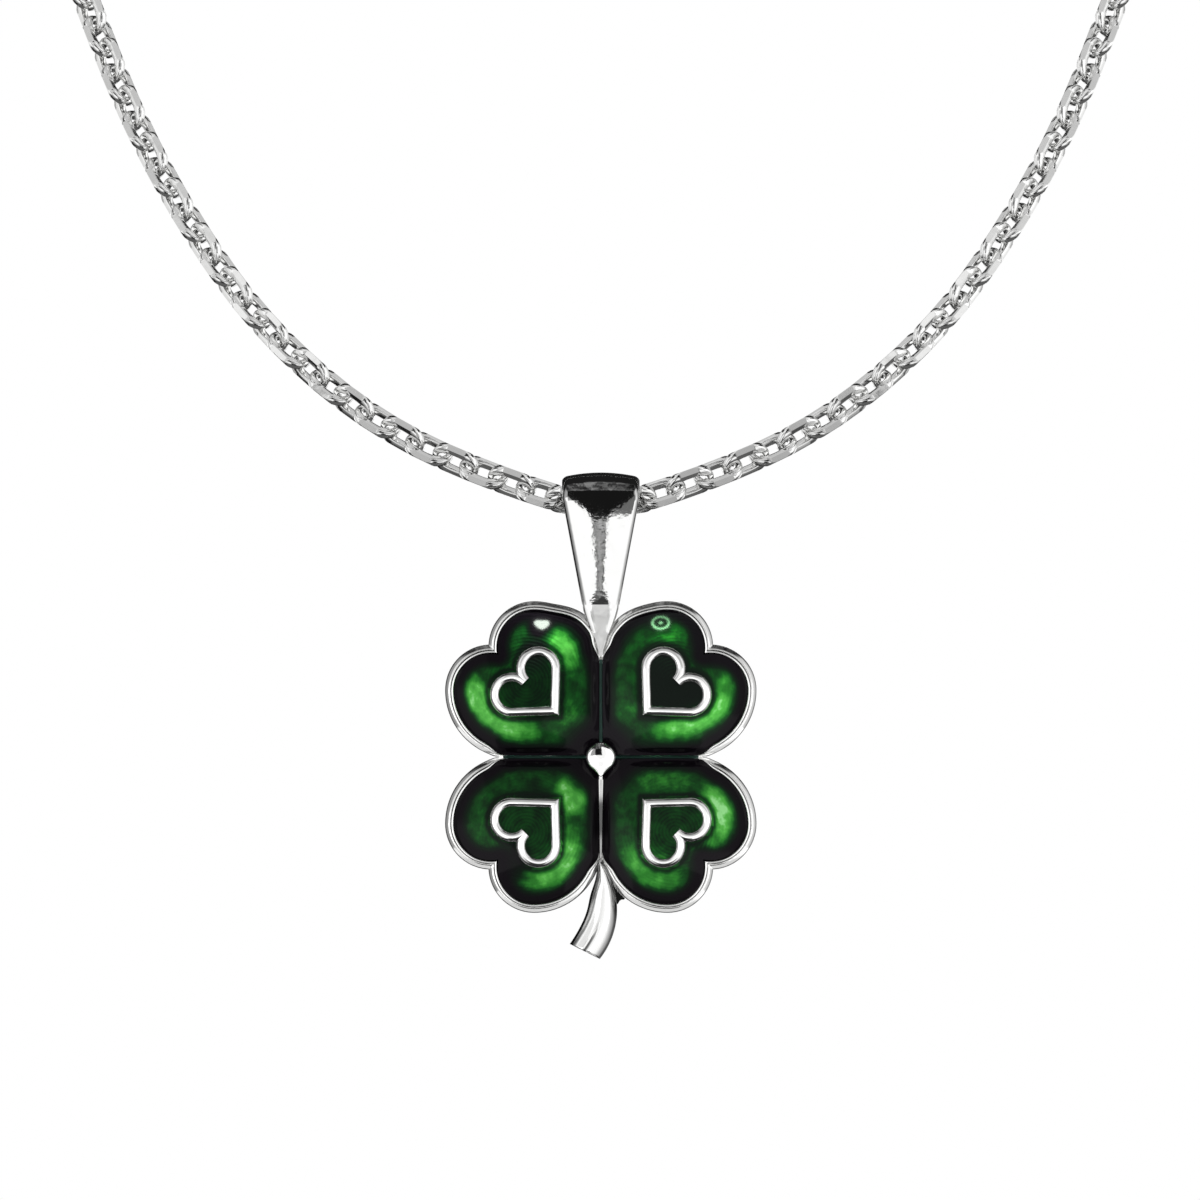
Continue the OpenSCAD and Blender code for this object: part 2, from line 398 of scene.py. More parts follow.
def silver(name, roughness, waviness, scratches, wave_scale=520, tarnished=False):
    """Polished silver with faint unevenness from casting and fine scratches from wear."""
    material, n, shader = new_material(name)
    colour = n.colours(n.noise(700, 2), SILVER_TONES)
    # Darkens toward the dark colour by an attribute: tarnish on the plate's back, painted shade on the stem
    # and on the lowest rib.
    if tarnished:
        stain_and_shade = {"Factor": n.attribute("tarnish"), 6: colour, 7: TARNISH_AND_SHADE_COLOUR}
        colour = n.add("Mix", stain_and_shade, data_type="RGBA").outputs[2]
    wave = n.bump(n.noise(wave_scale, 2), waviness, WAVE_DEPTH)
    n.fill(shader, {
        "Metallic": 1.0,
        "Base Color": colour,
        "Roughness": n.ramp(n.noise(1600, 3), 0.35, 0.7, roughness * 0.7, roughness * 1.4),
        "Normal": n.bump(n.noise(2600, 4, SCRATCH_STRETCH), scratches, SCRATCH_DEPTH, Normal=wave),
    })
    return material


# Fine turned rings under the enamel, which fade away from the leaf's middle
RING_PITCH = 0.00022
RING_FADE = (0.0017, 0.0030)
RING_STRENGTH = (0.045, 0.006)
MARK_DEPTH = 0.00006
ENAMEL_COLOURS = [
    # (how thin the enamel is, with painted light and shade added, colour)
    (0.0, (0.006, 0.004, 0.0068)), (0.18, (0.004, 0.016, 0.0065)), (0.42, (0.008, 0.08, 0.013)),
    (0.68, (0.036, 0.27, 0.032)), (0.9, (0.12, 0.56, 0.085)), (1.0, (0.36, 0.86, 0.32)),
]


def enamel_material():
    """Translucent green enamel over a bright turned floor, near-black where it is deep, with painted light
    and shade in its colour.
    """
    material, n, shader = new_material("green_enamel")
    # The thin attribute holds how thin the enamel is together with painted glows, dark patches and a painted
    # highlight.
    depth, turned = n.attribute("thin"), n.attribute("turned")
    rings = n.math("SINE", n.times(turned, 2 * pi / RING_PITCH))
    mottle = n.ramp(n.noise(1500, 5), 0.3, 0.72, -0.11, 0.11)
    uneven = n.math("MULTIPLY_ADD", rings, n.ramp(turned, *RING_FADE, *RING_STRENGTH), mottle)
    thin = n.math("ADD", depth, n.times(uneven, n.ramp(depth, 0.1, 0.4)), clamp=True)
    marks = n.math("MULTIPLY_ADD", rings, 0.2, n.noise(1500, 3))
    relief = n.bump(marks, 0.35, MARK_DEPTH)
    n.fill(shader, {"Base Color": n.colours(thin, ENAMEL_COLOURS), "Normal": relief})
    n.fill(shader, {"Metallic": 0.5, "Roughness": 0.4, "Specular IOR Level": 0.0})
    n.fill(shader, {"Coat Weight": 1.0, "Coat Roughness": 0.06, "Coat IOR": 1.17})
    return material


RIB_TONES = [(0.0, (0.02, 0.06, 0.05)), (1.0, (0.06, 0.17, 0.13))]


def rib_material():
    """Silver rib stained dark by the enamel beside it."""
    material, n, shader = new_material("stained_rib")
    n.fill(shader, {
        "Base Color": n.colours(n.noise(800, 3), RIB_TONES),
        "Metallic": 0.8,
        "Roughness": n.ramp(n.noise(1400, 2), 0.3, 0.7, 0.36, 0.5),
        "Coat Weight": 0.6,
        "Coat Roughness": 0.05,
    })
    return material


cast_silver = silver("cast_silver", 0.12, 0.10, 0.12)
stem_silver = silver("stem_silver", 0.12, 0.10, 0.12, tarnished=True)
bail_silver = silver("bail_silver", 0.06, 0.04, 0.0, 2600)
satin_silver = silver("satin_silver", 0.40, 0.02, 0.25, tarnished=True)
chain_silver = silver("chain_silver", 0.13, 0.10, 0.10)
green_enamel = enamel_material()
stained_rib = rib_material()


# Clover plate

# Cross-section of the rim from the back edge round to the floor, as inset from the outline and height
RIM = [
    # [inset, height]
    [0.4, BACK_H], [0.16, BACK_H], [0.07, -0.975], [0.015, -0.91], [0.0, -0.82], [0.0, -0.2],
    [0.01, -0.14], [0.035, -0.095], [0.075, -0.06], [0.13, -0.02], [0.19, 0.022], [0.245, 0.058],
    [0.285, 0.07], [0.305, 0.055], [0.318, 0.075], [0.326, 0.2], [0.336, 0.4], [0.35, 0.5],
    [0.375, 0.575], [0.41, 0.625], [0.452, 0.645], [0.495, 0.635], [0.535, 0.595], [0.568, 0.52],
    [0.59, 0.4], [0.605, 0.2], [INSET, FLOOR_H],
]
LIP_FROM = 0.32
LIP_ENDS = [5.9, 6.25]
SUNK_H = 0.02
PINCH = 0.72
PINCH_ALONG = [6.3, 7.4]
PINCH_WIDE = [0.5, 1.3]


def pinch(xy):
    """Draws the rims of two neighbouring leaves together where they run into one another."""
    size = np.abs(xy)
    along, off = size.max(1), size.min(1)
    k = PINCH * (1 - smoothstep(*PINCH_ALONG, along)) * (1 - smoothstep(*PINCH_WIDE, off))
    steep = size[:, 1] > size[:, 0]
    return xy * np.column_stack([np.where(steep, 1 - k, 1), np.where(steep, 1, 1 - k)])


# How much further the upper leaves reach toward the neck than the lower ones do toward the stem
FULLER_LEFT, FULLER_RIGHT = 0.42, 0.2
FULLER_RISE, FULLER_FALL = (12, 46), (54, 78)
FULLER_REACH = [2.0, 3.5]
FULLER_MOST = 0.7


def fuller(xy):
    """Swells the upper leaves' flanks beside the neck. Turn is from a lobe's top toward the neck."""
    x, y = xy[:, 0], xy[:, 1]
    dx, dy = LOBE_OFFSET - np.abs(x), y - FLANK_X
    turn = np.degrees(np.arctan2(dx, dy))
    reach = np.maximum(np.hypot(dx, dy), 1e-6)
    k = smoothstep(*FULLER_RISE, turn) * (1 - smoothstep(*FULLER_FALL, turn))
    k = k * smoothstep(*FULLER_REACH, reach) * np.where(x < 0, FULLER_LEFT, FULLER_RIGHT) * (y > FLANK_X)
    toward = np.minimum(k * dx / reach, FULLER_MOST * np.abs(x))
    return np.column_stack([x - np.sign(x) * toward, y + k * dy / reach])


def rim_ring(d, h):
    """A ring of the rim. The lips of two leaves sink under the enamel where they run together."""
    xy = pinch(clover_ring(d))
    keep = smoothstep(*LIP_ENDS, np.abs(xy).max(1))
    return at_height(fuller(xy), SUNK_H + (h - SUNK_H) * keep if d > LIP_FROM and h > SUNK_H else h)


# The plate's back is sunk inside its polished edge, and a satin slab fills it
BACK_SUNK = 0.03
BACK_TARNISH = 0.3
BACK_EDGE = [
    # [inset, height]
    [0.47, BACK_H + 0.2], [0.42, BACK_H + 0.2], [0.42, BACK_H + 0.012], [0.44, BACK_H],
]

rings = [rim_ring(d, h) for d, h in RIM]
back_rings = [r + [0, 0, BACK_SUNK] for r in shrunk(rings[0], 0.25, 0.5, 0.75, 0.92)]
plate_rings = back_rings + rings + shrunk(rings[-1], 0.9, 0.5)
small_relief = [frame_piece("clover_plate", plate_rings, cast_silver, 50)]

back_edge = [rim_ring(d, h) for d, h in BACK_EDGE]
back_edge += shrunk(back_edge[-1], 0.8, 0.5, 0.2)
plate_back = frame_piece("plate_back", back_edge, satin_silver, 40, tarnish=BACK_TARNISH)


# Ribs between the leaves

RIB_STEPS = 24
RIB_ACROSS = 12
RIB_SIDE_POWER = 0.7
RIB_TOP_POWER = 0.45


def rib(name, turn, start, end, half_widths, heights, material):
    """A rounded bar from the middle outwards along one axis; turn counts quarter turns from +x."""
    sections = []
    a = np.linspace(0, pi, RIB_ACROSS)
    for t in np.linspace(0, 1, RIB_STEPS):
        w, top = (low + (high - low) * t for low, high in (half_widths, heights))
        y = np.sign(np.cos(a)) * np.abs(np.cos(a)) ** RIB_SIDE_POWER * w
        h = FLOOR_H + (top - FLOOR_H) * np.abs(np.sin(a)) ** RIB_TOP_POWER
        x = np.full(RIB_ACROSS, start + (end - start) * t)
        sections.append(at_height(quarter_turns(np.column_stack([x, y]), turn), h))
    return frame_piece(name, sections, material, 60)


for quarter, name in enumerate(("rib_right", "rib_top", "rib_left")):
    rib(name, quarter, 0.5, 6.3, (0.15, 0.15), (RIB_H, RIB_H + 0.02), stained_rib)
rib_foot = rib("rib_foot", 3, 1.46, 6.5, (0.25, 0.12), (0.42, 0.62), stem_silver)

# Painted shade on the lowest rib: a dark band part way down, by the distance down from the clover's centre
SHADE_SETS_IN = (2.3, 3.1)
SHADE_THINS = (4.7, 5.6)
foot_points = np.array([v.co for v in rib_foot.data.vertices]) / MM
way_down = clover_z - foot_points[:, 2]
rib_foot_shade = 0.88 * smoothstep(*SHADE_SETS_IN, way_down) * (1 - 0.5 * smoothstep(*SHADE_THINS, way_down))
set_point_values(rib_foot, foot_points, tarnish=rib_foot_shade)


# Enamel

EDGE_GAP = 0.11
RIB_SIDE_STEPS = 24
CORNER_FROM, CORNER_TO = 6.0, 6.25
LEAF_C = np.array([LEAF_AT, LEAF_AT])
ENAMEL_FOOT_H = FLOOR_H + 0.05

# Painted light and shade on each leaf: glows where its floor would reflect the bright room, and dark
# patches.
# Places are in mm from the clover's centre, turn is in degrees, and strength is added to the leaf's own
# level.
# Levels of each leaf's enamel and of the enamel inside its heart; they differ from leaf to leaf as painted
# light and shade.
LEAF_LEVEL = {"upper_right": 0.30, "upper_left": 0.35, "lower_left": 0.35, "lower_right": 0.33}
HEART_LEVEL = {"upper_right": 0.2, "upper_left": 0.6, "lower_left": 0.75, "lower_right": 0.8}
PAINTED_GLOWS = {
    "upper_right": [
        # [x, y, half length, half width, turn, strength]
        [6.2, 2.5, 2.5, 0.95, 20, 0.58], [7.9, 4.2, 1.6, 0.9, 66, 0.36], [4.6, 1.9, 1.2, 0.6, 8, 0.16],
        [4.6, 8.2, 1.2, 0.9, 0, 0.2], [1.7, 2.9, 0.8, 0.7, 0, 0.1], [7.0, 7.2, 1.6, 1.1, -45, -0.26],
        [3.86, 8.65, 0.85, 0.7, 0, -0.3]],
    "upper_left": [
        [-7.2, 3.0, 2.5, 1.0, -42, 0.52], [-8.4, 4.5, 1.5, 0.8, -70, 0.34],
        [-5.0, 1.7, 1.2, 0.7, -10, 0.3], [-2.5, 7.0, 1.5, 1.0, -72, 0.46],
        [-2.4, 2.7, 1.0, 0.8, 30, 0.14], [-5.2, 8.1, 1.8, 0.9, 0, 0.06],
        [-4.3, 6.9, 0.9, 1.3, 0, -0.24], [-3.86, 8.5, 1.0, 0.75, 0, -0.45]],
    "lower_left": [
        [-2.9, -7.4, 2.2, 1.5, 40, 0.47], [-2.2, -5.5, 1.4, 0.8, 80, 0.26],
        [-1.9, -2.4, 1.4, 1.1, 60, 0.72], [-7.6, -4.2, 1.8, 1.5, 0, 0.02],
        [-6.0, -7.0, 1.7, 1.2, 45, -0.3], [-4.4, -2.3, 1.0, 0.8, 0, -0.14]],
    "lower_right": [
        [7.7, -3.3, 1.8, 1.1, -62, 0.52], [7.4, -5.0, 1.4, 0.9, -80, 0.3],
        [3.2, -7.4, 2.3, 1.5, -20, 0.38], [2.4, -5.8, 1.2, 0.7, 80, 0.05],
        [3.9, -1.5, 2.0, 0.7, 0, 0.22], [6.6, -7.6, 1.4, 1.0, 0, -0.16]],
}
GLOW_POWER = 2.0
THIN_AND_LIT_MOST = 0.87

# One painted highlight: a near-white spot on the lower right leaf
PAINTED_HIGHLIGHT = (7.7, -3.2, 0.8, 0.20)

# Distances over which the enamel clears, from the lip, a rib, the clover's centre and a heart
LIP_DARK = (0.35, 1.15)
RIB_DARK = (0.4, 1.25)
CENTRE_DARK = (1.7, 3.2)
# Beside a heart the enamel is darkened: partly deeper enamel at the raised line's foot, partly painted shade
# of the line.
HEART_DARK = (0.0, 0.4)
HEART_DARK_LEVEL = 0.25
HEART_MARGIN = 0.04
# How far outward of the leaf's middle the turned rings are centred
TURNED_SHIFT = 0.4


def heart_outline(d):
    """Outline of the heart ornament inset by d, point first, as x toward the lobes and y across."""
    half_angle = atan(HEART_SIDE / HEART_POINT)
    half_angle += asin(HEART_LOBE_R / hypot(HEART_POINT, HEART_SIDE))
    r = HEART_LOBE_R - d
    end = atan2(-HEART_SIDE, sqrt(r * r - HEART_SIDE ** 2)) if r > HEART_SIDE else -pi / 2
    lobe = arc_points((0, HEART_SIDE), r, np.linspace(pi / 2 + half_angle, end, 44))
    side = line_points(np.array([d / sin(half_angle) - HEART_POINT, 0]), lobe[0], 16)
    cleft = [lobe[-1] + (np.array([lobe[-1][0], 0]) - lobe[-1]) * t for t in (0.4, 0.8, 1.0)]
    half = np.array(side + lobe + cleft)
    return np.vstack([half, half[-2:0:-1] * [1, -1]])


def heart_place(points):
    """From the heart's own axes to the first-quadrant leaf."""
    c, s = cosd(45), sind(45)
    x = points[:, 0] + HEART_AT + (HEART_POINT - HEART_LOBE_R) / 2
    y = points[:, 1]
    return np.column_stack([x * c - y * s, x * s + y * c])


def dome_height(xy):
    return DOME_TOP - DOME_R + np.sqrt(DOME_R * DOME_R - ((xy - LEAF_C) ** 2).sum(-1))


def distance_to(points, outline):
    tree = point_tree(at_height(outline, 0))
    return np.array([tree.find((p[0], p[1], 0))[2] for p in points])


def inside_polygon(points, outline):
    x, y = points[:, 0], points[:, 1]
    inside = np.zeros(len(points), bool)
    for (x0, y0), (x1, y1) in zip(outline, np.roll(outline, -1, axis=0)):
        crosses = (y0 > y) != (y1 > y)
        with np.errstate(divide="ignore", invalid="ignore"):
            at = (x1 - x0) * (y - y0) / (y1 - y0) + x0
        inside ^= crosses & (x < at)
    return inside


def leaf_edge():
    """Edge of the enamel in the first quadrant: along both ribs and round inside the lip."""
    half = pinch(half_leaf(INSET - 0.02))
    lip_side = half[half[:, 0] > CORNER_TO]
    start, turn = np.array([CORNER_FROM, EDGE_GAP]), np.array([CORNER_TO - 0.05, EDGE_GAP])
    rib_side = line_points(np.array([EDGE_GAP, EDGE_GAP]), start, RIB_SIDE_STEPS)
    corner = [start * (1 - s) ** 2 + turn * 2 * s * (1 - s) + lip_side[0] * s * s
              for s in np.linspace(0, 1, 8, endpoint=False)]
    return whole_leaf(np.vstack([rib_side, corner, lip_side]))


def enamel_height(xy):
    """Top of the enamel: a dome that rolls down to the ribs' height beside them."""
    dome = dome_height(xy)
    beside_rib = smoothstep(0.0, 0.55, xy.min(1) - EDGE_GAP)
    return dome * beside_rib + np.minimum(dome, RIB_H - 0.05) * (1 - beside_rib)


def enamel(quarter, side):
    edge = leaf_edge()
    sections = [at_height(LEAF_C + (edge - LEAF_C) * 0.3, ENAMEL_FOOT_H), at_height(edge, ENAMEL_FOOT_H)]
    for fraction in [1, 0.985, 0.965, 0.94, *np.linspace(0.91, 0.03, 36)]:
        ring = LEAF_C + (edge - LEAF_C) * fraction
        filled = quarter_turns(fuller(quarter_turns(ring, quarter)), 4 - quarter)
        sections.append(at_height(ring, enamel_height(filled)))
    verts, faces = lofted(sections)

    flat = verts[:, :2]
    heart = heart_place(heart_outline(-HEART_MARGIN))
    beside_heart = smoothstep(*HEART_DARK, distance_to(flat, heart))
    thin = smoothstep(*LIP_DARK, distance_to(flat, edge[RIB_SIDE_STEPS:1 - RIB_SIDE_STEPS]))
    thin *= smoothstep(*RIB_DARK, flat.min(1))
    thin *= smoothstep(*CENTRE_DARK, np.hypot(flat[:, 0], flat[:, 1]))
    # Inside a heart the level is set per leaf as painted light and shade; just outside it the enamel is
    # darkened, partly as painted shade.
    thin *= np.where(inside_polygon(flat, heart), HEART_LEVEL[side],
                     HEART_DARK_LEVEL + (1 - HEART_DARK_LEVEL) * beside_heart)
    turned_flat = fuller(quarter_turns(flat, quarter))
    # Painted glows and dark patches laid over the leaf's own level
    glow = np.full(len(flat), LEAF_LEVEL[side])
    for x, y, long, wide, turn, strength in PAINTED_GLOWS[side]:
        dx, dy = turned_flat[:, 0] - x, turned_flat[:, 1] - y
        u = (dx * cosd(turn) + dy * sind(turn)) / long
        v = (-dx * sind(turn) + dy * cosd(turn)) / wide
        glow += strength * np.exp(-(u * u + v * v) ** GLOW_POWER)
    thin = np.clip(thin * glow, 0, THIN_AND_LIT_MOST)
    # Painted highlight on the lower right leaf
    if side == "lower_right":
        x, y, reach, strength = PAINTED_HIGHLIGHT
        dx, dy = turned_flat[:, 0] - x, turned_flat[:, 1] - y
        thin += strength * np.exp(-(dx ** 2 + dy ** 2) / reach ** 2)

    placed = stand(at_height(turned_flat, verts[:, 2]))
    from_middle = np.linalg.norm(flat - LEAF_C - TURNED_SHIFT, axis=1) * MM
    return make_piece("enamel_leaf_" + side, placed, faces, "pendant", "enamel", ["enamel_" + side],
                      green_enamel, 50, thin=thin, turned=from_middle)


HEART_LINE_SINK = 0.12
HEART_LINE_POWER = 2.4


def heart_line(quarter, side):
    """Raised polished line in the shape of a heart, rounded across and following the dome."""
    sections = []
    for t in np.linspace(0, 1, 13):
        xy = heart_place(heart_outline(HEART_LINE_W * t))
        bulge = (1 - abs(2 * t - 1) ** HEART_LINE_POWER) ** (1 / HEART_LINE_POWER)
        h = dome_height(xy) - HEART_LINE_SINK + (HEART_RISE + HEART_LINE_SINK) * bulge
        sections.append(at_height(quarter_turns(xy, quarter), h))
    sections += [at_height(s[:, :2], FLOOR_H + 0.1) for s in (sections[-1], sections[0])]
    faces = ring_faces(len(sections), len(sections[0]), closed_rings=True)
    return make_piece("heart_line_" + side, stand(np.vstack(sections)), faces, "pendant", "silver",
                      ["clover_frame"], cast_silver, 60)


leaves = {}
for quarter, side in enumerate(("upper_right", "upper_left", "lower_left", "lower_right")):
    leaves[side] = enamel(quarter, side)
    small_relief.append(heart_line(quarter, side))


# Bead at the centre: its front is flatter than a ball's, which keeps the studio and not the enamel in it

BEAD_FLAT = 0.55
BEAD_WIDE = 1.08
BEAD_PROFILE = [
    # [distance along the clover's y, radius]
    [0.98, 0.1], [0.9, 0.26], [0.8, 0.44], [0.64, 0.65], [0.44, 0.8], [0.2, 0.895], [0.0, BEAD_R],
    [-0.22, 0.89], [-0.44, 0.8], [-0.64, 0.655], [-0.82, 0.47], [-0.98, 0.29], [-1.14, 0.14],
    [-1.26, 0.05],
]


def lathe(profile, around=40):
    """Rings of a turned piece about its first axis, as [along, side, height]."""
    a = full_turn(around)
    return [np.column_stack([np.full(around, x), r * np.cos(a), r * np.sin(a)]) for x, r in profile]


def bead_place(points):
    along, side, height = points.T
    rise = np.where(height > 0, BEAD_FLAT * height, height) + (BEAD_H + (1 - BEAD_FLAT) * BEAD_R)
    return stand(np.column_stack([BEAD_WIDE * side, along, rise]))


bead_piece = frame_piece("centre_bead", lathe(BEAD_PROFILE), cast_silver, 70, bead_place)


# Stem

STEM_AT = (-4.03, -9.85)
STEM_R = 5.08
STEM_INNER_AT = (-10.19, -6.32)
STEM_INNER_R = 10.0
STEM_FOOT = np.array([-2.0, -12.06])
STEM_FOOT_TURN = -26.5
STEM_TOP = -6.45
STEM_LENGTH = 6.4
STEM_BACK_H = -0.75
STEM_FRONT_H = 0.5
STEM_ROUND = 1.9
STEM_EDGE_TURN = 62
STEM_END_ROUND = 0.12
STEM_LEAST_W = 0.04
STEM_SWELL = (-8.9, 0.9, 0.14)
# Places along the stem, here and below, are shares of the way from its top
STEM_STATIONS = [*np.linspace(0, 0.955, 44), 0.965, 0.975, 0.983, 0.99, 0.996, 1.0]
NEAR_FOOT = (0.62, 0.9)
LOWER_PART = (0.42, 0.6)
# Where the painted shade along the stem's right edge ends, and where painted shade across the crease at the
# foot sets in
RIGHT_SHADE_ENDS = (0.5, 0.68)
FOOT_END_SHADE = (0.984, 0.996)
# The crease down the front, as shares of half the stem's width
CREASE_AT, CREASE_HALF_W = -0.06, 0.12
# Half of the stem's cross-section, from the front's middle to the back's, as shares of half sizes
STEM_SECTION = [[sind(a) / sind(STEM_EDGE_TURN), 1 - STEM_ROUND * (1 - cosd(a))]
                for a in np.linspace(0, STEM_EDGE_TURN, 25)]
STEM_SECTION += [[1.0, -0.75], [0.94, -0.92], [0.8, -1.0], [0.0, -1.0]]


def circle_at(centre, r, y):
    """The point on a circle's right side at the height y."""
    dy = y - centre[1]
    return np.array([centre[0] + sqrt(r * r - dy * dy), y])


def stem_ends():
    """Where the foot's cut crosses the stem's left and right edges."""
    step = np.array([cosd(STEM_FOOT_TURN), sind(STEM_FOOT_TURN)])
    ends = []
    for centre, r in ((STEM_INNER_AT, STEM_INNER_R), (STEM_AT, STEM_R)):
        to = STEM_FOOT - centre
        b = to @ step
        ends.append(STEM_FOOT + step * (sqrt(b * b - (to @ to - r * r)) - b))
    return ends


def stem():
    left_end, right_end = stem_ends()
    middle_h = (STEM_FRONT_H + STEM_BACK_H) / 2
    half_h = (STEM_FRONT_H - STEM_BACK_H) / 2
    swell_at, swell_reach, swell = STEM_SWELL
    sections, tarnish = [], []
    for t in STEM_STATIONS:
        left = circle_at(STEM_INNER_AT, STEM_INNER_R, STEM_TOP + (left_end[1] - STEM_TOP) * t)
        left[0] -= swell * exp(-((left[1] - swell_at) / swell_reach) ** 2)
        right = circle_at(STEM_AT, STEM_R, STEM_TOP + (right_end[1] - STEM_TOP) * t)
        if right[0] - left[0] < STEM_LEAST_W:
            right = left + [STEM_LEAST_W, 0]
        into = max(0.0, STEM_END_ROUND - (1 - t) * STEM_LENGTH)
        drop = STEM_END_ROUND - sqrt(STEM_END_ROUND ** 2 - into ** 2)
        near_foot, lower = smoothstep(*NEAR_FOOT, t), smoothstep(*LOWER_PART, t)
        # Painted shade: across the crease at the foot, along the edges beside the leaves and on the sides,
        # the right edge's only on the upper part
        foot_end_shade = 0.75 * smoothstep(*FOOT_END_SHADE, t)
        left_shade, right_shade = 0.92 - 0.2 * lower, 0.85 * (1 - smoothstep(*RIGHT_SHADE_ENDS, t))
        points = []
        for across, h in mirrored(STEM_SECTION):
            xy = (left + right) / 2 + (right - left) / 2 * across
            side_shade = left_shade if across < 0 else right_shade
            if h > 0.2:
                crease = max(0.0, 1 - abs(across - CREASE_AT) / CREASE_HALF_W)
                beside_leaf = side_shade * smoothstep(0.5 + 0.12 * lower, 0.72 + 0.24 * lower, abs(across))
                # Painted shade in the crease, growing toward the foot
                crease_shade = (0.12 + 0.83 * near_foot) * min(1.0, 1.6 * crease)
                tarnish.append(max(crease_shade, foot_end_shade * (crease > 0), beside_leaf))
                h = h - (0.02 + 0.1 * near_foot) * crease
            else:
                tarnish.append(side_shade if abs(across) > 0.9 else 0.0)
            points.append([*xy, middle_h + (half_h - drop) * h])
        sections.append(points)
    return frame_piece("stem", sections, stem_silver, 23, tarnish=tarnish + [0.0, 0.0])


stem_piece = stem()
small_relief.append(stem_piece)

# Corner of the web between the stem and the lower right leaf, in the clover's plane
WEB = [
    # [x, y]
    [0.78, -8.3], [0.9, -8.42], [1.1, -8.68], [1.3, -8.88], [1.56, -9.12], [1.5, -9.2], [1.34, -9.2],
    [1.2, -9.3], [1.12, -9.46], [1.0, -9.52], [0.88, -9.3], [0.84, -8.8],
]
WEB_BACK, WEB_FRONT = -0.7, -0.12
frame_piece("stem_web", [at_height(WEB, h) for h in (WEB_BACK, WEB_FRONT)], cast_silver, 30)


# Bail: a folded strip with two legs, and the neck below it, in the bail's own frame

LEG_STEPS = 40
ARCH_STEPS = 56
TUNNEL_TO = -0.72
HOLLOW_HALF = 1.18
HOLLOW_END = -5.6
HOLLOW_END_HALF = 0.6
HOLLOW_END_ROUND = 0.12
EDGE_ROUND = 0.29
EDGE_SPREAD = 0.36
EDGE_POWER = 1.5
EDGE_TURNS = (75, 62, 50, 38, 25, 12, 0)
INNER_EDGE = 0.1
# The legs grow rounder across between these distances below the chain's axis
LEG_ROUNDER = (0.8, 6.0)
# How the front of a leg leans: elevation of the surface's normal at a height
LEG_LEAN = [
    # [z, degrees]
    [-0.1, -3.0], [-0.5, -5.2], [-0.9, -7.0], [-1.4, -8.2], [-5.0, -9.1], [-5.5, -9.7], [-6.0, -10.7],
    [-6.62, -12.0],
]
LEG_END = LEG_LEAN[-1][0]


def leg_outer():
    """Offsets from the axis of a leg's outer face at the middle of its width, at even steps in height."""
    zs = np.linspace(LEG_LEAN[0][0], LEG_END, LEG_STEPS)
    slope = np.tan(np.radians(np.interp(-zs, [-z for z, _ in LEG_LEAN], [a for _, a in LEG_LEAN])))
    fall = np.concatenate([[0], np.cumsum((slope[1:] + slope[:-1]) / 2 * (zs[:-1] - zs[1:]))])
    start = sqrt(BAIL_R ** 2 - zs[0] ** 2)
    wanted = (BAIL_R + LEG_END * sind(LEG_SLOPE)) / cosd(LEG_SLOPE)
    fall *= (wanted - start) / fall[-1]
    return zs, start + fall


def leg_inner(z):
    if z >= TUNNEL_TO:
        return sqrt(TUNNEL_R ** 2 - z * z)
    if z >= HOLLOW_END:
        return HOLLOW_HALF + (HOLLOW_END_HALF - HOLLOW_HALF) * z / HOLLOW_END
    return HOLLOW_END_HALF * max(0.0, 1 - (HOLLOW_END - z) / HOLLOW_END_ROUND) - 0.01


def bail_half_width(z):
    return np.interp(z, [-LEG_LENGTH, FULL_WIDTH_TO], [LEG_END_HALF_W, BAIL_W / 2])


def strip_section(outer, inner, half_w, dome_r, to_place):
    """Cross-section of the folded strip: domed outside, flat inside, with rounded edges."""
    thick = outer - inner
    soft = min(EDGE_ROUND, thick * 0.5)
    flat_half = half_w - EDGE_SPREAD * soft / EDGE_ROUND
    dome = [(x, outer - (dome_r - sqrt(dome_r ** 2 - x * x)))
            for x in np.linspace(-flat_half, flat_half, 21)]
    edge = [(flat_half + (half_w - flat_half) * cosd(a) ** (2 / EDGE_POWER),
             dome[-1][1] - soft * (1 - sind(a) ** (2 / EDGE_POWER))) for a in EDGE_TURNS]
    small = min(INNER_EDGE, thick * 0.25)
    inner_edge = [(half_w - small * a, inner + small * b) for a, b in ((0, 1), (0.3, 0.3), (1, 0))]
    back = [(x, inner) for x in np.linspace(half_w - small, small - half_w, 13)[1:-1]]
    points = [(-x, r) for x, r in edge[::-1]] + dome + edge
    points += inner_edge + back + [(-x, r) for x, r in inner_edge[::-1]]
    return [to_place(x, r) for x, r in points]


def bail():
    front_leg, arch, back_leg = [], [], []
    zs, outs = leg_outer()
    for side, leg in ((-1, front_leg), (1, back_leg)):
        for z, out in zip(zs, outs):
            dome_r = BAIL_DOME_R * (1 - 0.5 * smoothstep(*LEG_ROUNDER, -z))
            leg.append(strip_section(out, leg_inner(z), bail_half_width(z), dome_r,
                                     lambda x, r: [x, side * r, z]))
    start = degrees(asin(zs[0] / BAIL_R))
    for a in np.linspace(start, 180 - start, ARCH_STEPS)[1:-1]:
        arch.append(strip_section(BAIL_R, TUNNEL_R, bail_half_width(BAIL_R * sind(a)), BAIL_DOME_R,
                                  lambda x, r: [x, -r * cosd(a), r * sind(a)]))
    return frame_piece("bail", front_leg[::-1] + arch + back_leg, bail_silver, 50, hang)


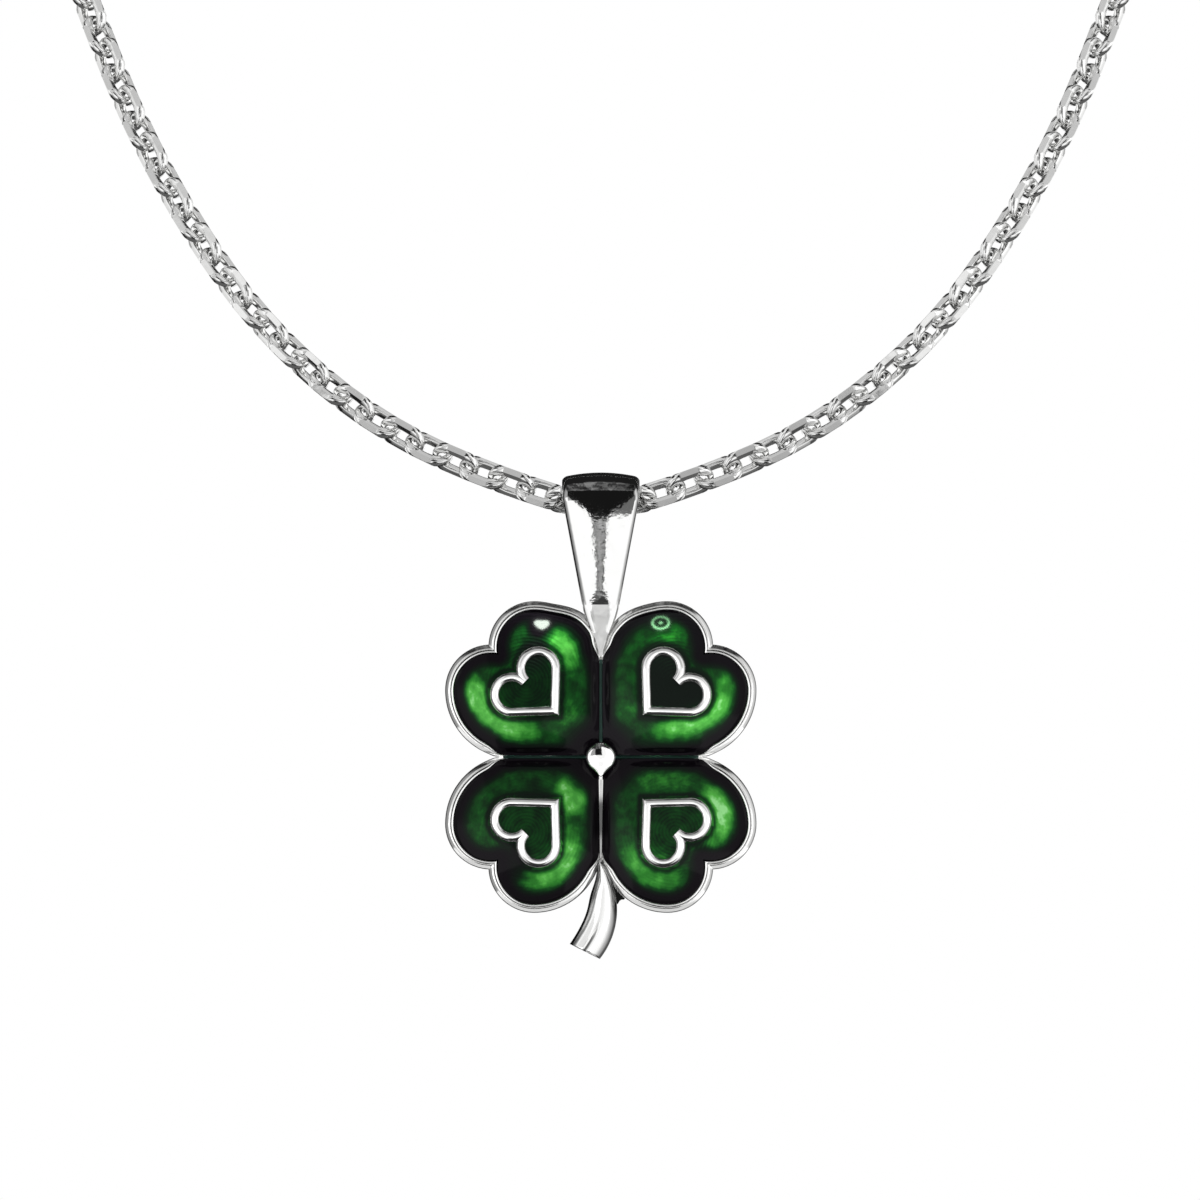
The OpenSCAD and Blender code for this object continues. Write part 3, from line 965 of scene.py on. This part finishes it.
# Half of the neck's cross-section, as shares of its half width and half depth
NECK_SECTION = [
    # [across, toward the front]
    [0.0, 1.0], [0.4, 0.999], [0.88, 0.994], [0.93, 0.94], [0.965, 0.82], [0.985, 0.65], [1.0, 0.3],
    [1.0, -0.5], [0.93, -0.8], [0.7, -0.97], [0.0, -1.0],
]
NECK_TAPER = [
    # [z, half width]
    [-6.3, 1.23], [-6.9, 1.15], [-7.4, 1.0], [-8.0, 0.76], [-8.7, 0.46], [-9.5, 0.2], [-9.98, 0.12],
]
NECK_TOP, NECK_END = NECK_TAPER[0][0], NECK_TAPER[-1][0]
# How far the front and back stand out, and what each loses down to the end
NECK_FRONT, NECK_FRONT_LOSS = 0.9, 0.6
NECK_BACK, NECK_BACK_LOSS = 0.88, 0.18


def neck():
    sections = []
    for z in np.linspace(NECK_TOP, NECK_END, 26):
        front = NECK_FRONT - NECK_FRONT_LOSS * (z - NECK_TOP) / (NECK_END - NECK_TOP)
        back = NECK_BACK - NECK_BACK_LOSS * max(0.0, (z + LEG_LENGTH) / (NECK_END + LEG_LENGTH))
        half_w = np.interp(-z, [-at for at, _ in NECK_TAPER], [w for _, w in NECK_TAPER])
        middle, depth = (back - front) / 2, (back + front) / 2
        sections.append([[half_w * a, middle - depth * h, z] for a, h in mirrored(NECK_SECTION)])
    return frame_piece("neck", sections, cast_silver, 50, hang)


bail_piece = bail()
neck_piece = neck()


# Chain: the same walk along the loop as in the source, with a link at every pitch

def arc_end(p, h, length, turn):
    if turn == 0:
        return p + length * np.array([cosd(h), sind(h)])
    return p + length / radians(turn) * np.array([sind(h + turn) - sind(h), cosd(h) - cosd(h + turn)])


side_end, heading = np.zeros(2), 0.0
for arc in ARCS:
    side_end, heading = arc_end(side_end, heading, *arc), heading + arc[1]
nape_arc = [side_end[0] / sind(heading) * radians(180 - heading), 180 - heading]
HALF_LOOP = [*ARCS, nape_arc]
half_loop = sum(arc_length for arc_length, _ in HALF_LOOP)


def walk(s):
    """Place and heading at distance s along the half-loop, in the loop's own plane."""
    p, h = np.zeros(2), 0.0
    for length, turn in HALF_LOOP:
        if s <= length:
            part = turn * s / length
            return arc_end(p, h, s, part), h + part
        s -= length
        p, h = arc_end(p, h, length, turn), h + turn


def leaned(p):
    """From the loop's own plane to the row frame's directions."""
    return np.array([p[0], p[1] * sind(LEAN), p[1] * cosd(LEAN)])


def unit(v):
    return v / np.linalg.norm(v)


def width_dir(t, turn):
    a = unit(np.array([0, 1, 0]) - t[1] * t)
    return cosd(turn) * a + sind(turn) * np.cross(t, a)


LINK_STATIONS = 44
LINK_SECTION = 10
LINK_IN = [1.2, 0.58, 2.4]
LINK_OUT = [1.66, 1.25, 2.1]
LINK_HALF_T = 0.27
LINK_SOFT = 0.1
MID_SOFT = 0.29 * LINK_SOFT
FACET_REACH = 0.865 * sqrt(2)
EDGE_LEAST = 0.02


def power(v, exponent):
    return copysign(abs(v) ** exponent, v)


def oval_point(size, a):
    half_length, half_width, p = size
    return np.array([half_length * power(cos(a), 2 / p), half_width * power(sin(a), 2 / p)])


def link_mesh():
    """Points of a link as (along, width, normal), its diagonals cut flat, and which stations are cut."""
    points, cut = [], []
    for k in range(LINK_STATIONS):
        a = 2 * pi * (k + 0.5) / LINK_STATIONS
        inner, outer = oval_point(LINK_IN, a), oval_point(LINK_OUT, a)
        mid, out = (inner + outer) / 2, unit(outer - inner)
        half = np.linalg.norm(outer - inner) / 2
        across, outward = abs(mid[1]), abs(out[1])
        top_u = min(half - LINK_SOFT, (FACET_REACH - LINK_HALF_T - across) / outward)
        side_n = min(LINK_HALF_T - LINK_SOFT, FACET_REACH - across - half * outward)
        side_u = half
        if side_n < EDGE_LEAST:
            side_n, side_u = EDGE_LEAST, (FACET_REACH - EDGE_LEAST - across) / outward
        cut.append(top_u < half - LINK_SOFT)
        inside = [(-half, LINK_HALF_T - LINK_SOFT), (MID_SOFT - half, LINK_HALF_T - MID_SOFT),
                  (LINK_SOFT - half, LINK_HALF_T)]
        section = [(top_u, LINK_HALF_T), (side_u, side_n), (side_u, -side_n), (top_u, -LINK_HALF_T)]
        section += [(u, -n) for u, n in inside[::-1]] + inside
        points += [[*(mid + out * u), n] for u, n in section]
    return np.array(points), cut


def chain():
    local, cut = link_mesh()
    ring = ring_faces(LINK_STATIONS, LINK_SECTION, closed_rings=True)
    all_verts, all_faces = [], []
    for i in range(-LINKS_A_SIDE, LINKS_A_SIDE + 1):
        p, heading = walk(abs(i) * PITCH)
        t = leaned([cosd(heading), sind(heading)])
        w = width_dir(t, ROLL if i % 2 == 0 else -ROLL)
        points = local @ np.array([t, w, np.cross(t, w)]) + (HANG + leaned(p))
        base = len(local) * len(all_verts)
        all_faces += [tuple(base + v for v in f) for f in ring]
        all_verts.append(points * [-1, 1, 1] if i < 0 else points)
    verts = np.vstack(all_verts)
    piece = make_piece("cable_chain", verts, all_faces, "chain", "silver", ["chain"], chain_silver, 50)
    mark_cut_edges(piece.data, cut)
    return piece


def mark_cut_edges(mesh, cut):
    """Keeps the edges along each link sharp where its sides are cut flat."""
    ends = np.empty(2 * len(mesh.edges), int)
    mesh.edges.foreach_get("vertices", ends)
    ends = ends.reshape(-1, 2)
    column = ends % LINK_SECTION
    station = ends // LINK_SECTION % LINK_STATIONS
    cut_edges = np.array(cut)[station].all(1) & (column[:, 0] == column[:, 1]) & (column[:, 0] < 4)
    sharp = np.zeros(len(cut_edges), bool)
    mesh.edges.foreach_get("use_edge_sharp", sharp)
    mesh.edges.foreach_set("use_edge_sharp", sharp | cut_edges)


chain_piece = chain()


# Clasp at the nape: a turned barrel in two screwed halves, with an eye at each end

rim_at = half_loop - LINKS_A_SIDE * PITCH - (PITCH + PLAY) / 2 + EYE_CLEAR + EYE_WIRE_R
eye_at = rim_at - EYE_R
clasp_half = eye_at - (EYE_R - EYE_WIRE_R) - 0.05
# The barrel's end as distance from it and radius, and a groove as distance from its middle and depth
CLASP_END = [(0.0, 0.62), (0.04, 0.74), (0.14, 0.86)]
GROOVE = ((-0.12, 0), (-0.07, 0.4), (-0.03, 0.9), (0.03, 0.9), (0.07, 0.4), (0.12, 0))
SIDE_GROOVE_AT = (-2.2, -1.6)
SIDE_GROOVE = 0.1
MIDDLE_GROOVE = 0.14
EYE_STEPS, EYE_SECTION = 48, 20


def clasp():
    left = [(x - clasp_half, r) for x, r in CLASP_END]
    neck_x, neck_r = left[-1]
    for t in np.linspace(0.1, 1, 8):
        left.append((neck_x + 1 - cosd(90 * t), neck_r + (CLASP_R - neck_r) * sind(90 * t)))
    for at in SIDE_GROOVE_AT:
        left += [(at + dx, CLASP_R - SIDE_GROOVE * dr) for dx, dr in GROOVE]
    left += [(dx, CLASP_R - MIDDLE_GROOVE * dr) for dx, dr in GROOVE[:3]]
    profile = left + [(0.0, CLASP_R - MIDDLE_GROOVE)] + [(-x, r) for x, r in left[::-1]]
    c, s = cosd(-ROLL), sind(-ROLL)

    def clasp_piece(name, points, faces, smooth_angle):
        x, y, z = np.asarray(points, float).T
        tilted = np.column_stack([x, y * c - z * s, y * s + z * c])
        return make_piece(name, tilted, faces, "chain", "silver", ["clasp"], chain_silver, smooth_angle)

    pieces = [clasp_piece("clasp_barrel", *lofted(lathe(profile, 56)), 35)]
    b = full_turn(EYE_SECTION)
    r = EYE_R + EYE_WIRE_R * np.cos(b)
    eye_faces = ring_faces(EYE_STEPS, EYE_SECTION, closed_rings=True)
    for side, name in ((-1, "clasp_eye_left"), (1, "clasp_eye_right")):
        rings = [np.column_stack([side * eye_at + r * cos(a), r * sin(a), EYE_WIRE_R * np.sin(b)])
                 for a in full_turn(EYE_STEPS)]
        pieces.append(clasp_piece(name, np.vstack(rings), eye_faces, 180))
    return pieces


clasp_pieces = clasp()


# World: a white studio with dark cloths round the object. Directions are in degrees: el is up, az is to the
# right of the way to the camera, and off_axis is away from it.

world = bpy.data.worlds.new("studio")
bpy.context.scene.world = world
world.use_nodes = True
sky = Nodes(world.node_tree)
split = sky.add("SeparateXYZ", {0: sky.add("TexCoord").outputs["Generated"]})
x, y, z = split.outputs
forward = sky.times(y, -1.0)
el = sky.times(sky.math("ARCSINE", z), 180 / pi)
az = sky.times(sky.math("ARCTAN2", x, forward), 180 / pi)
off_axis = sky.times(sky.math("ARCCOSINE", forward), 180 / pi)
both, ramp, mix = sky.times, sky.ramp, sky.mix


def band(value, low, high, soft):
    """1 between low and high, 0 outside, over a soft edge."""
    return both(ramp(value, low - soft, low + soft), ramp(value, high - soft, high + soft, 1.0, 0.0))


def below(value, limit, soft):
    """1 where value is less than the limit, over a soft edge."""
    return ramp(sky.math("SUBTRACT", limit, value), -soft, soft)


def absolute(value):
    return sky.math("ABSOLUTE", value)


def mottle(stretch, low, high, to_low, to_high):
    """Uneven light over the sky, so that mirror-like metal looks lit by a real room."""
    return ramp(sky.noise(1.0, 2.0, stretch, "Generated"), low, high, to_low, to_high)


# Brightness of the dark cloths
CLOTH = 0.012
left_level = mix(ramp(off_axis, 68, 98), mix(ramp(off_axis, 34, 70), 1.08, 0.32), CLOTH)
right_level = mix(ramp(off_axis, 84, 104), mix(ramp(off_axis, 50, 86), 1.08, 0.42),
                  mix(ramp(x, 0.2, 0.6), CLOTH, 0.09))
level = mix(ramp(x, -0.35, 0.12, 1.0, 0.0), right_level, left_level)
front = ramp(off_axis, 84, 94, 1.0, 0.0)
overhead = both(ramp(absolute(sky.math("SUBTRACT", x, -0.04)), 0.12, 0.36, 1.0, 0.35),
                mottle((15, 3, 3), 0.33, 0.67, 0.02, 0.24))
gap_half = sky.math("ADD", ramp(el, -14.5, -5, 4.6, 16.0, "LINEAR"),
                    ramp(el, -5, 46, 0.0, 16.0, "LINEAR"))
streak_half = sky.math("MAXIMUM", ramp(el, -17.9, -16.4, 3.5, 5.2, "LINEAR"),
                       ramp(el, -23.2, -18.2, 17.5, 4.2, "LINEAR"))
streak = below(absolute(sky.math("ADD", az, 1.0)), streak_half, 0.6)
streak_level = mix(ramp(el, -21.0, -18.9), 0.04, mottle((34, 34, 60), 0.40, 0.60, 0.05, 0.40))
behind = both(ramp(off_axis, 140, 149), ramp(absolute(x), 0.09, 0.15))
# Each is laid over those before it: a grey band to both sides, the ceiling, the upper sides and back, a card
# on the right, the floor, the gap for the camera, the streak under it and a window behind. The camera itself
# sees plain white.
PATCHES = [
    # (where, brightness)
    (both(front, both(band(absolute(az), 14, 54, 3), band(el, 1, 48, 3))), 0.36),
    (both(front, ramp(el, 42, 50)), overhead),
    (both(ramp(off_axis, 83, 88), ramp(z, 0.4, 0.6)), CLOTH),
    (both(band(az, 9, 42, 2), band(el, -12, 30, 1.5)), 0.14),
    (ramp(el, -52, -36, 1.0, 0.0), 0.02),
    (both(below(absolute(az), gap_half, 0.8), band(el, -14.5, 47.8, 1.5)), 0.008),
    (both(streak, band(el, -56, -14.5, 1.5)), streak_level),
    (both(behind, band(el, -32, 7, 4)), 0.95),
    (sky.add("LightPath").outputs["Is Camera Ray"], 1.0),
]
for where, brightness in PATCHES:
    level = mix(where, level, brightness)
background = sky.add("Background", {"Strength": level, "Color": (1, 1, 1, 1)})
sky.add("OutputWorld", {0: background.outputs[0]})


# Cards and lamps, each lighting only some pieces, as a product photographer flags light

CARD_AWAY = 1000.0
LOW_CARD_DEEP = 840


def area_light(name, place_mm, aim_mm, size_mm, radiance, pieces, shape="RECTANGLE"):
    width, height = size_mm[0] * MM, size_mm[1] * MM
    data = bpy.data.lights.new(name, "AREA")
    data.shape = shape
    data.size = width
    data.size_y = height
    area = width * height * (pi / 4 if shape == "ELLIPSE" else 1)
    data.energy = radiance * pi * area
    light = add_object(name, data)
    light.location = Vector(place_mm) * MM
    direction = (Vector(aim_mm) - Vector(place_mm)) * MM
    light.rotation_euler = direction.to_track_quat("-Z", "Y").to_euler()
    light.visible_camera = False
    lit = bpy.data.collections.new(name + "_lights")
    for piece in pieces:
        lit.objects.link(piece)
    light.light_linking.receiver_collection = lit
    return light


clover_middle = (0, HANG[1], clover_z)


def front_card(name, el_low, el_high, az_low, az_high, radiance, pieces):
    """A card in front that fills the given angles as seen from the clover."""
    angles = (el_low, el_high, az_low, az_high)
    low, high, left, right = (CARD_AWAY * tan(radians(a)) for a in angles)
    x, y, z = (left + right) / 2, HANG[1], clover_z + (low + high) / 2
    area_light(name, (x, y - CARD_AWAY, z), (x, y, z), (right - left, high - low), radiance, pieces)


def low_card(name, width, radiance, pieces):
    """A card below the clover, toward the camera."""
    aim = (0, HANG[1] - LOW_CARD_DEEP / 2, clover_z)
    area_light(name, (0, aim[1], clover_z - CARD_AWAY), aim, (width, LOW_CARD_DEEP), radiance, pieces)


front_card("relief_card", -20, 12, -55, 55, 1.0, small_relief)
front_card("relief_upper_card", 12, 46, -55, 55, 0.45, small_relief)
front_card("rib_foot_card", -30, 20, -55, 55, 0.6, [rib_foot])
front_card("bead_low_card", -64, 10, -78, 78, 1.0, [bead_piece])
front_card("bead_right_card", 10, 60, 5, 78, 1.0, [bead_piece])
front_card("bead_left_card", 10, 60, -78, -52, 0.8, [bead_piece])
front_card("chain_card", -6, 9, -16, 16, 0.5, [chain_piece])
front_card("neck_card", -60, 10, -16, 16, 0.42, [neck_piece])
front_card("chain_left_card", -2, 34, -54, -12, 0.14, [chain_piece])
front_card("chain_right_card", -2, 34, 12, 54, 0.30, [chain_piece])
LEAF_CARDS = {"upper_left": 0.32, "upper_right": 0.75, "lower_left": 0.6, "lower_right": 0.75}
for side, radiance in LEAF_CARDS.items():
    front_card("leaf_card_" + side, -55, 45, -55, 55, radiance, [leaves[side]])
front_card("bail_low_card", 0, 7, -60, -18, 0.7, [bail_piece])
front_card("bail_high_card", 7, 22, -60, -25, 0.7, [bail_piece])
low_card("relief_low_card", 3000, 0.7, small_relief[:1])
front_card("stem_left_card", 8, 58, -66, -40, 0.6, [stem_piece])
low_card("stem_low_card", 1300, 0.55, [stem_piece])
low_card("bead_floor_card", 3000, 0.9, [bead_piece])


def side_card(name, az, el, width, height, radiance, pieces):
    """A card in a direction from the clover."""
    away = np.array([sind(az) * cosd(el), -cosd(az) * cosd(el), sind(el)]) * CARD_AWAY
    middle = np.array(clover_middle)
    area_light(name, middle + away, middle, (width, height), radiance, pieces)


chain_and_clasp = [chain_piece, *clasp_pieces]
for side, name in ((-1, "left"), (1, "right")):
    side_card("chain_high_card_" + name, side * 42, 50, 760, 760, 0.55, chain_and_clasp)
    side_card("chain_side_card_" + name, side * 92, 10, 1000, 1000, 0.75, chain_and_clasp)
    side_card("chain_back_card_" + name, side * 140, 5, 900, 1200, 0.4, chain_and_clasp)
side_card("chain_top_card", 0, 96, 1500, 700, 0.55, chain_and_clasp)
side_card("chain_low_card", 0, -90, 1800, 1200, 0.09, chain_and_clasp)
side_card("back_card", 180, 0, 3600, 3000, 0.3, [plate_back, *clasp_pieces])

LAMP = 165
LAMP_FORWARD, LAMP_UP = 68, 47.6


def lamp(name, shift, size, colour, piece, pattern):
    """A small lamp above the camera whose shape shows as a highlight in the enamel of one leaf."""
    at = (shift[0], HANG[1] - LAMP_FORWARD, clover_z + LAMP_UP + shift[1])
    light = area_light(name, at, clover_middle, size, LAMP, [piece], "ELLIPSE")
    light.data.color = colour
    light.data.use_nodes = True
    n = Nodes(light.data.node_tree)
    across = n.add("NewGeometry").outputs["Parametric"]
    parts = n.add("SeparateXYZ", {0: across}).outputs
    u, v = (n.math("MULTIPLY_ADD", part, 2.0, -1.0) for part in parts[:2])
    glow = n.add("Emission", {"Strength": pattern(n, u, v)})
    n.add("OutputLight", {0: glow.outputs[0]})


def distance(n, u, v):
    return n.math("SQRT", n.math("ADD", n.times(u, u), n.times(v, v)))


def blob(n, u, v):
    """Rounded below, with a notch above."""
    bent = n.math("ADD", n.times(n.math("ABSOLUTE", u), -0.5), n.math("MULTIPLY_ADD", v, 1.15, 0.1))
    return n.ramp(distance(n, u, bent), 0.78, 0.92, 1.0, 0.0)


def ring_and_dot(n, u, v):
    """A ring that is brighter below, and a dot in it."""
    out = distance(n, u, v)
    ring = n.times(n.ramp(out, 0.66, 0.76), n.ramp(out, 0.9, 0.99, 1.0, 0.0))
    ring = n.times(ring, n.ramp(v, -0.9, 0.6, 1.2, 0.5))
    return n.math("ADD", ring, n.ramp(out, 0.14, 0.26, 0.8, 0.0))


lamp("lamp_left", (1.8, 0), (12.0, 8.6), (0.88, 1.0, 0.88), leaves["upper_left"], blob)
lamp("lamp_right", (-1.2, 1.5), (13.4, 10.4), (0.42, 1.0, 0.48), leaves["upper_right"], ring_and_dot)


# Pale floor, well below the pendant, that fades out toward its edge

FLOOR_Z = -0.26
FLOOR_R = 2.0
FLOOR_FADE = (0.25 * FLOOR_R, 0.95 * FLOOR_R)
floor_mesh = bpy.data.meshes.new("floor")
bm = bmesh.new()
bmesh.ops.create_circle(bm, cap_ends=True, radius=FLOOR_R, segments=96)
bm.to_mesh(floor_mesh)
bm.free()
floor = add_object("floor", floor_mesh)
floor.location = (0, 0, FLOOR_Z)
floor.visible_glossy = False
floor.visible_diffuse = False
pale, n, shader = new_material("pale_floor")
floor_rough = n.ramp(n.noise(40), 0.3, 0.7, 0.55, 0.65)
n.fill(shader, {"Base Color": (0.86, 0.86, 0.85, 1), "Roughness": floor_rough})
place = n.add("TexCoord").outputs["Object"]
from_middle = n.add("VectorMath", {0: place}, operation="LENGTH").outputs["Value"]
clear = n.add("BsdfTransparent").outputs[0]
fade = {0: n.ramp(from_middle, *FLOOR_FADE), 1: shader.outputs[0], 2: clear}
n.fill(n.output, {0: n.add("MixShader", fade).outputs[0]})
floor_mesh.materials.append(pale)
area_light("floor_light", (0, 0, 1240), (0, 0, 0), (4000, 4000), 1.35, [floor])

bpy.context.scene.view_settings.view_transform = "Standard"
